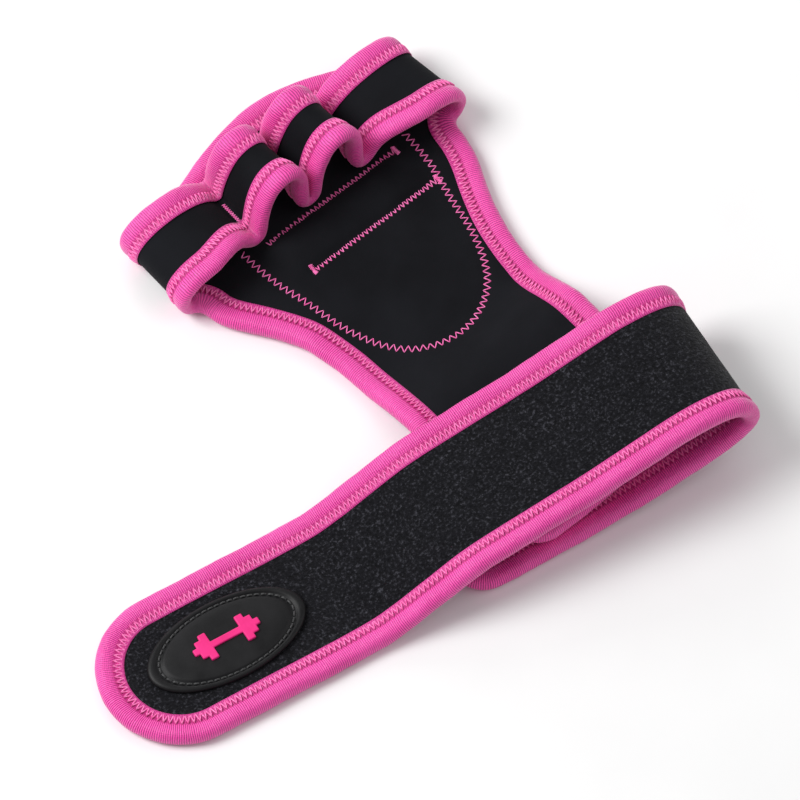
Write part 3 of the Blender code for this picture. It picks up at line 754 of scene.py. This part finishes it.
path_x, path_z = strip_path[:, 0], strip_path[:, 1]
way = tangents(strip_path)
inward = np.stack([-way[:, 1], way[:, 0]], axis=1)          # towards the fingers' side of the cloth
across = np.linspace(0.0, 1.0, 22)
strip_y = strip_low(path_x, path_z)[:, None] * (1 - across) + STRIP_FINGER_Y * across
dish = 0.55 * np.sin(math.pi * across)[None] * step_up(10.0, 20.0, path_z)[:, None]
flare = np.outer(step_up(*FLARE_FROM, path_x), SIDE_FLARE[0] + (SIDE_FLARE[1] - SIDE_FLARE[0]) * across)
sway = np.outer(loop_lean(path_x, path_z), LOOP_SWAY[0] + (LOOP_SWAY[1] - LOOP_SWAY[0]) * across)
strip_x = LOOP_SHIFT + path_x[:, None] + flare + sway + inward[:, :1] * dish
strip_z = path_z[:, None] + inward[:, 1:] * dish
strip_grid = place(strip_x, strip_y, strip_z)
strip = cloth("finger_strip_cloth", strip_grid, -HALF_STRIP, HALF_STRIP, STRETCH)
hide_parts("finger_strip")
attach(strip, "palm")


# ---- the two binding loops ---------------------------------------------------------------

def panel_side(sign, ys):
    x = panel_x(sign, ys)
    return np.concatenate([on_panel(x, ys), panel_normal(x, ys)], axis=1)


def strip_edge(column, skip):
    """One edge of the strip from right to left, with its inner face's normals, without skip end points."""
    keep = slice(skip, len(path_x) - skip)
    return np.concatenate([strip_grid[keep, column], -grid_normals(strip_grid)[keep, column]], axis=1)


def corner_curve(start, end, lead, follow, late, count=14):
    """Bezier between two (point, normal) rows that leaves along lead and arrives along follow.

    The normal turns near the end when late is above 1, and near the start when it is below 1.
    """
    t = np.linspace(0.0, 1.0, count + 2)[1:-1, None]
    a, d = start[:3], end[:3]
    b, c = a + lead, d - follow
    points = a * (1 - t) ** 3 + 3 * b * t * (1 - t) ** 2 + 3 * c * t * t * (1 - t) + d * t ** 3
    turned = t ** late if late > 1.0 else 1 - (1 - t) ** (1 / late)
    return np.concatenate([points, start[3:] * (1 - turned) + end[3:] * turned], axis=1)


SIDE_TOP = 84.0              # the wrist loop leaves the panel's sides here and turns up to the strip
SKIP = 6
PANEL_LEAD, STRIP_LEAD = 3.6, 2.2
LATE = 3.0
swing = np.linspace(0.0, math.pi / 2, 12)


def bottom_corner(sign, angles):
    x = centre_bottom + sign * (half_bottom - PANEL_CORNER * (1 - np.sin(angles)))
    y = PANEL_BOTTOM + PANEL_CORNER * (1 - np.cos(angles))
    return np.concatenate([on_panel(x, y), panel_normal(x, y)], axis=1)


down = panel_side(-1, np.linspace(SIDE_TOP, PANEL_BOTTOM + PANEL_CORNER, 160))
up = panel_side(1, np.linspace(PANEL_BOTTOM + PANEL_CORNER, SIDE_TOP, 160))
straight_x = np.linspace(-1.0, 1.0, 60)[1:-1] * (half_bottom - PANEL_CORNER) + centre_bottom
straight_y = np.full(len(straight_x), PANEL_BOTTOM)
bottom = np.concatenate([on_panel(straight_x, straight_y), panel_normal(straight_x, straight_y)], axis=1)
over = strip_edge(0, SKIP)
outwards = place(1.0, 0.0, 0.0) - place(0.0, 0.0, 0.0)
right_turn = corner_curve(up[-1], over[0], hand_axis * PANEL_LEAD, outwards * STRIP_LEAD, LATE)
left_turn = corner_curve(over[-1], down[0], outwards * STRIP_LEAD, -hand_axis * PANEL_LEAD, 1 / LATE)
wrist_loop = np.vstack([down[:-1], bottom_corner(-1, swing[::-1])[:-1], bottom,
                        bottom_corner(1, swing)[1:], up[1:], right_turn, over, left_turn])

edge_s = np.linspace(0.985, -0.985, 150)
edge_y = finger_edge(edge_s)
edge_x = panel_x(edge_s, edge_y)
front_edge = np.concatenate([on_panel(edge_x, edge_y), panel_normal(edge_x, edge_y)], axis=1)
fingers = strip_edge(-1, 3)[::-1]
finger_loop = np.vstack([front_edge, fingers])


STRIP_TAPE_Z = (2.75, 5.5)   # the tape thins where it leaves the panel for the strip: its height there,
STRIP_TAPE_Y = (82.0, 90.0)  # and its place along the hand's axis
STRIP_TAPE_THINNER = 0.2


def binding_loop(name, rows, nodes, seed):
    packed = resample(rows, 0.7, True)[0]
    packed = relax(packed, 3, True)
    edge, normal = packed[:, :3], unit(packed[:, 3:])
    along = (edge - [*HAND_ORIGIN, 0.0]) @ hand_axis
    on_strip = step_up(*STRIP_TAPE_Z, edge[:, 2]) * step_up(*STRIP_TAPE_Y, along)
    piece, lines = tape(name, edge, normal, True, PINK, 1.0 - STRIP_TAPE_THINNER * on_strip, seed)
    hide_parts(*nodes)
    stitch = thread(name.replace("binding", "stitch"), [(*line, True) for line in lines], THREAD,
                    **TAPE_STITCH)
    return piece, stitch


for piece in binding_loop("wrist_loop_binding", wrist_loop,
                          ("panel_binding_wrist", "panel_binding_left", "panel_binding_right",
                           "strip_binding_wrist"), 21):
    bend(piece, "wrist_band", "palm", flex)
finger_pieces = binding_loop("finger_loop_binding", finger_loop,
                             ("panel_binding_finger", "strip_binding_finger"), 31)
for piece in finger_pieces:
    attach(piece, "palm")


# ---- seams on the panel ------------------------------------------------------------------

def seam(line):
    """A stitch line on the panel's upper skin, from hand-frame points."""
    x, y = line[:, 0], line[:, 1]
    normal = panel_normal(x, y)
    way = tangents(on_panel(x, y))
    points = on_panel(x, y) + normal * (top_rise(x, y)[:, None] + 0.1)
    return points, unit(np.cross(way, normal)), normal, False


def stitched(name, lines, node, **options):
    piece = thread(name, [seam(line) for line in lines], THREAD, **options)
    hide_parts(node)
    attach(piece, "palm")


TACK_OUT = 0.6               # a bar tack stands this far past its seam's end
TACK_HALF = 1.6
VALLEY_TACK_Y = (97.5, 108.5)

stitched("pad_outline_thread", [pad_outline], "stitch_pad_outline", half=1.2, pitch=2.3, radius=0.19)
for label, line in zip(("lower", "upper"), cross_lines):
    stitched("channel_thread_" + label, [line], "stitch_channel_" + label,
             half=1.2, pitch=1.65, radius=0.2)
for node, x, y in (("bar_tack_lower_left", CHANNEL_X[0][0] - TACK_OUT, CHANNEL_Y[0]),
                   ("bar_tack_lower_right", CHANNEL_X[0][1] + TACK_OUT, CHANNEL_Y[0]),
                   ("bar_tack_upper_right", CHANNEL_X[1][1] + TACK_OUT, CHANNEL_Y[1])):
    tack_y = np.linspace(y - TACK_HALF, y + TACK_HALF, 12)
    tack = np.stack([np.full(len(tack_y), x), tack_y], axis=1)
    stitched(node + "_thread", [tack], node, half=0.65, pitch=0.5, radius=0.2)

for number in (1, 2, 3):
    x = LOOP_SHIFT + (number - 2) * VALLEY_PITCH
    y = np.linspace(*VALLEY_TACK_Y, 14)
    line = place(x, y, VALLEY_Z + HALF_STRIP + 0.05)
    upright = np.tile([0.0, 0.0, 1.0], (len(y), 1))
    sideways = unit(np.cross(tangents(line), upright))
    valley = thread("valley_tack_%d" % number, [(line, sideways, upright, False)], THREAD,
                    half=0.8, pitch=0.8, radius=0.2)
    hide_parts("loop_seam_%d" % number)
    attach(valley, "palm")

# ---- grip pad under the palm -------------------------------------------------------------
GRIP_TOP = 1.65              # under the panel's middle
GRIP_RIM = 0.05
GRIP_THICKNESS = 0.75        # in its middle, more than at its rim
pad_s = np.sin(np.linspace(-1, 1, 41) * math.pi / 2)
pad_t = np.linspace(-1, 1, 60)[:, None]
pad_y = np.linspace(pad[0, 0], pad[-1, 0], len(pad_t))[:, None]
pad_half = np.interp(pad_y[:, 0], pad[:, 0], pad[:, 1])[:, None]
pad_grid = on_panel(PAD_CENTRE + pad_s[None] * pad_half, pad_y + 0 * pad_s[None])
thickness = GRIP_THICKNESS * (1 - np.abs(pad_s[None]) ** 8) * (1 - np.abs(pad_t) ** 12)
grip = cloth("palm_grip_pad", pad_grid, -GRIP_TOP - GRIP_RIM - thickness, -GRIP_TOP, dotted_rubber())
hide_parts("grip_pad")
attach(grip, "palm")

# ---- badge -------------------------------------------------------------------------------
# From the foot over the rim, down into the stitched groove and up to the middle, as (share of the
# radii, height).
BADGE_PROFILE = [(1.0, 0.0), (1.006, 0.45), (1.0, 0.85), (0.985, 1.2), (0.962, 1.4), (0.935, 1.45),
                 (0.912, 1.38), (0.895, 1.15), (0.884, 0.95), (0.872, 0.9), (0.838, 0.9),
                 (0.826, 0.95), (0.812, 1.15), (0.795, 1.38), (0.77, 1.48), (0.66, 1.66),
                 (0.5, 1.84), (0.33, 1.95), (0.16, 2.0), (0.02, 2.02)]
GROOVE = 0.855
GROOVE_STITCHES = 52
GROOVE_STITCH_Z = 0.95


def badge_oval(share, angles):
    return np.stack([BADGE_CENTRE[0] + BADGE_RADII[0] * share * np.cos(angles),
                     BADGE_CENTRE[1] + BADGE_RADII[1] * share * np.sin(angles)], axis=1)


spin = np.linspace(0.0, 2 * math.pi, 128, endpoint=False)
rings = np.stack([np.column_stack([badge_oval(r, spin), np.full(len(spin), BADGE_BASE + z)])
                  for r, z in BADGE_PROFILE])
badge = tube("badge_patch", rings, RUBBER)
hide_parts("badge")
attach(badge, "strap_tip")

around = badge_oval(GROOVE, np.linspace(0.0, 2 * math.pi, 721))
around_s = arc(around)
groove_threads = []
for number in range(GROOVE_STITCHES):
    at = (np.linspace(0.12, 0.88, 7) + number) * around_s[-1] / GROOVE_STITCHES
    x, y = (np.interp(at, around_s, around[:, axis]) for axis in (0, 1))
    z = BADGE_BASE + GROOVE_STITCH_Z + 0.28 * np.sin(np.linspace(0.0, math.pi, len(at)))
    line = np.stack([x, y, z], axis=1)
    upright = np.tile([0.0, 0.0, 1.0], (len(at), 1))
    sideways = unit(np.cross(tangents(line), upright))
    rings = np.stack([line + sideways * 0.3 * math.cos(turn) + upright * 0.22 * math.sin(turn)
                      for turn in np.arange(6) / 3 * math.pi], axis=1)
    groove_threads.append((rings, False))
badge_stitch = strands("badge_groove_stitch", groove_threads, BLACK_THREAD)
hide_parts("badge_stitch")
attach(badge_stitch, "strap_tip")

# A dumbbell: one quarter of its outline, from the middle of the bar to the end of it.
quarter = [(0, 1.1), (5.0, 1.1), (5.0, 4.6), (7.6, 4.6), (7.6, 3.0), (9.6, 3.0), (9.6, 1.1), (11.2, 1.1)]
EMBLEM_Z = (1.6, 2.75)
outline = quarter + [(x, -y) for x, y in reversed(quarter)]
outline += [(-x, -y) for x, y in quarter[1:]] + [(-x, y) for x, y in reversed(quarter[1:])]
outline = np.array(outline) + BADGE_CENTRE
levels = np.stack([np.column_stack([outline, np.full(len(outline), BADGE_BASE + z)]) for z in EMBLEM_Z])
emblem = tube("badge_dumbbell_mark", levels, EMBLEM)
bevel = emblem.modifiers.new("rounded", "BEVEL")
bevel.width, bevel.segments, bevel.limit_method = 0.35 * MM, 3, "ANGLE"
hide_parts("badge_emblem")
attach(emblem, "strap_tip")

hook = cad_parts["hook_tape"]
hook_finish = hook_tape_material()
for slot_index in range(len(hook.material_slots)):
    hook.material_slots[slot_index].material = hook_finish

# ---- floor, light and camera -------------------------------------------------------------
AIM = Vector((0.0224, -0.0196, 0.0))
AZIMUTH, ELEVATION = math.radians(-31.1), math.radians(61.0)
CAMERA_DISTANCE = 4.0
FLOOR_HALF = 4.0
# Each light's place, size in metres and power in watts.
LIGHTS = {"key": ((-0.75, 0.45, 1.0), 0.7, 17.0), "fill": ((0.9, -0.5, 0.9), 1.0, 3.0),
          "rim": ((0.3, 1.1, 0.6), 0.7, 3.5)}

back = Vector((math.sin(AZIMUTH) * math.cos(ELEVATION), -math.cos(AZIMUTH) * math.cos(ELEVATION),
               math.sin(ELEVATION)))
camera_data = bpy.data.cameras.new("camera")
camera_data.lens, camera_data.sensor_width = 600.0, 36.0
camera_data.dof.use_dof = False
camera = bpy.data.objects.new("camera", camera_data)
bpy.context.scene.collection.objects.link(camera)
camera.location = AIM + back * CAMERA_DISTANCE
camera.rotation_euler = (-back).to_track_quat("-Z", "Y").to_euler()
bpy.context.scene.camera = camera

floor_mesh = bpy.data.meshes.new("floor")
floor_corners = [(x * FLOOR_HALF, y * FLOOR_HALF, 0.0) for x, y in ((-1, -1), (1, -1), (1, 1), (-1, 1))]
floor_mesh.from_pydata(floor_corners, [], [(0, 1, 2, 3)])
paper = Surface("paper", Roughness=0.9, Specular_IOR_Level=0.1)
paper.set("Base Color", paper.ramp(paper.noise(60.0, 3.0), (0.3, 0.86), (0.7, 0.89)))
floor_mesh.materials.append(paper.material)
floor = bpy.data.objects.new("floor", floor_mesh)
bpy.context.scene.collection.objects.link(floor)
for name, (spot, across_m, power) in LIGHTS.items():
    data = bpy.data.lights.new(name, "AREA")
    data.energy, data.size = power, across_m
    light = bpy.data.objects.new(name, data)
    bpy.context.scene.collection.objects.link(light)
    light.location = spot
    light.rotation_euler = (-Vector(spot)).to_track_quat("-Z", "Y").to_euler()

sky = bpy.data.worlds.new("sky")
sky.use_nodes = True
background = sky.node_tree.nodes["Background"]
background.inputs["Color"].default_value = (1.0, 1.0, 1.0, 1.0)
background.inputs["Strength"].default_value = 0.40
bpy.context.scene.world = sky
bpy.context.scene.view_settings.view_transform = "Standard"
